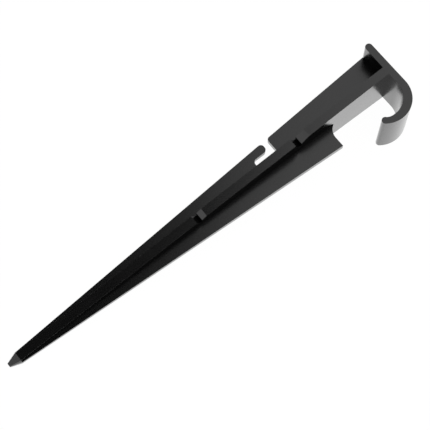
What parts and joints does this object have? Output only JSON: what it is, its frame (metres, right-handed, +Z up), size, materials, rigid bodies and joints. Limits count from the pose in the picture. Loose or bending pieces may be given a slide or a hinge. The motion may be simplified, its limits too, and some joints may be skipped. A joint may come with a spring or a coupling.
{
  "type": "drip tube stake",
  "caption": "Slim cross-ribbed plastic ground stake with a flat head, an open hook for a drip line and a side slot for a thin feeder tube.",
  "frame": {"origin": "bottom centre of the bounding box, on the surface that the stake lies on", "axes": "+X along the stake towards the head, -Y on the hook's side, +Z up; the stake lies on the back edges of its lip and point, pitched 3.2 degrees"},
  "size_m": [0.2034, 0.0354, 0.0251],
  "materials": {
    "black_plastic": "satin moulded polypropylene"
  },
  "bodies": {
    "stake": {"hammer_plate": "black_plastic", "spine_upper": "black_plastic", "spine_middle": "black_plastic", "spine_lower": "black_plastic", "left_web_upper": "black_plastic", "left_web_lower": "black_plastic", "right_web": "black_plastic", "point": "black_plastic"},
    "hook": {"hook_arm": "black_plastic"},
    "finger": {"slot_finger": "black_plastic"}
  },
  "joints": [
    {"name": "hook_flex", "type": "hinge", "parent": "stake", "child": "hook", "pos_m": [0.09938, -0.00575, 0.013], "axis": [-0.0553, 0, 0.9985], "range_deg": [0, 7], "stiffness_Nm_per_rad": 4},
    {"name": "finger_flex", "type": "hinge", "parent": "stake", "child": "finger", "pos_m": [0.03273, 0.01152, 0.00931], "axis": [-0.0553, 0, 0.9985], "range_deg": [0, 4], "stiffness_Nm_per_rad": 1}
  ]
}
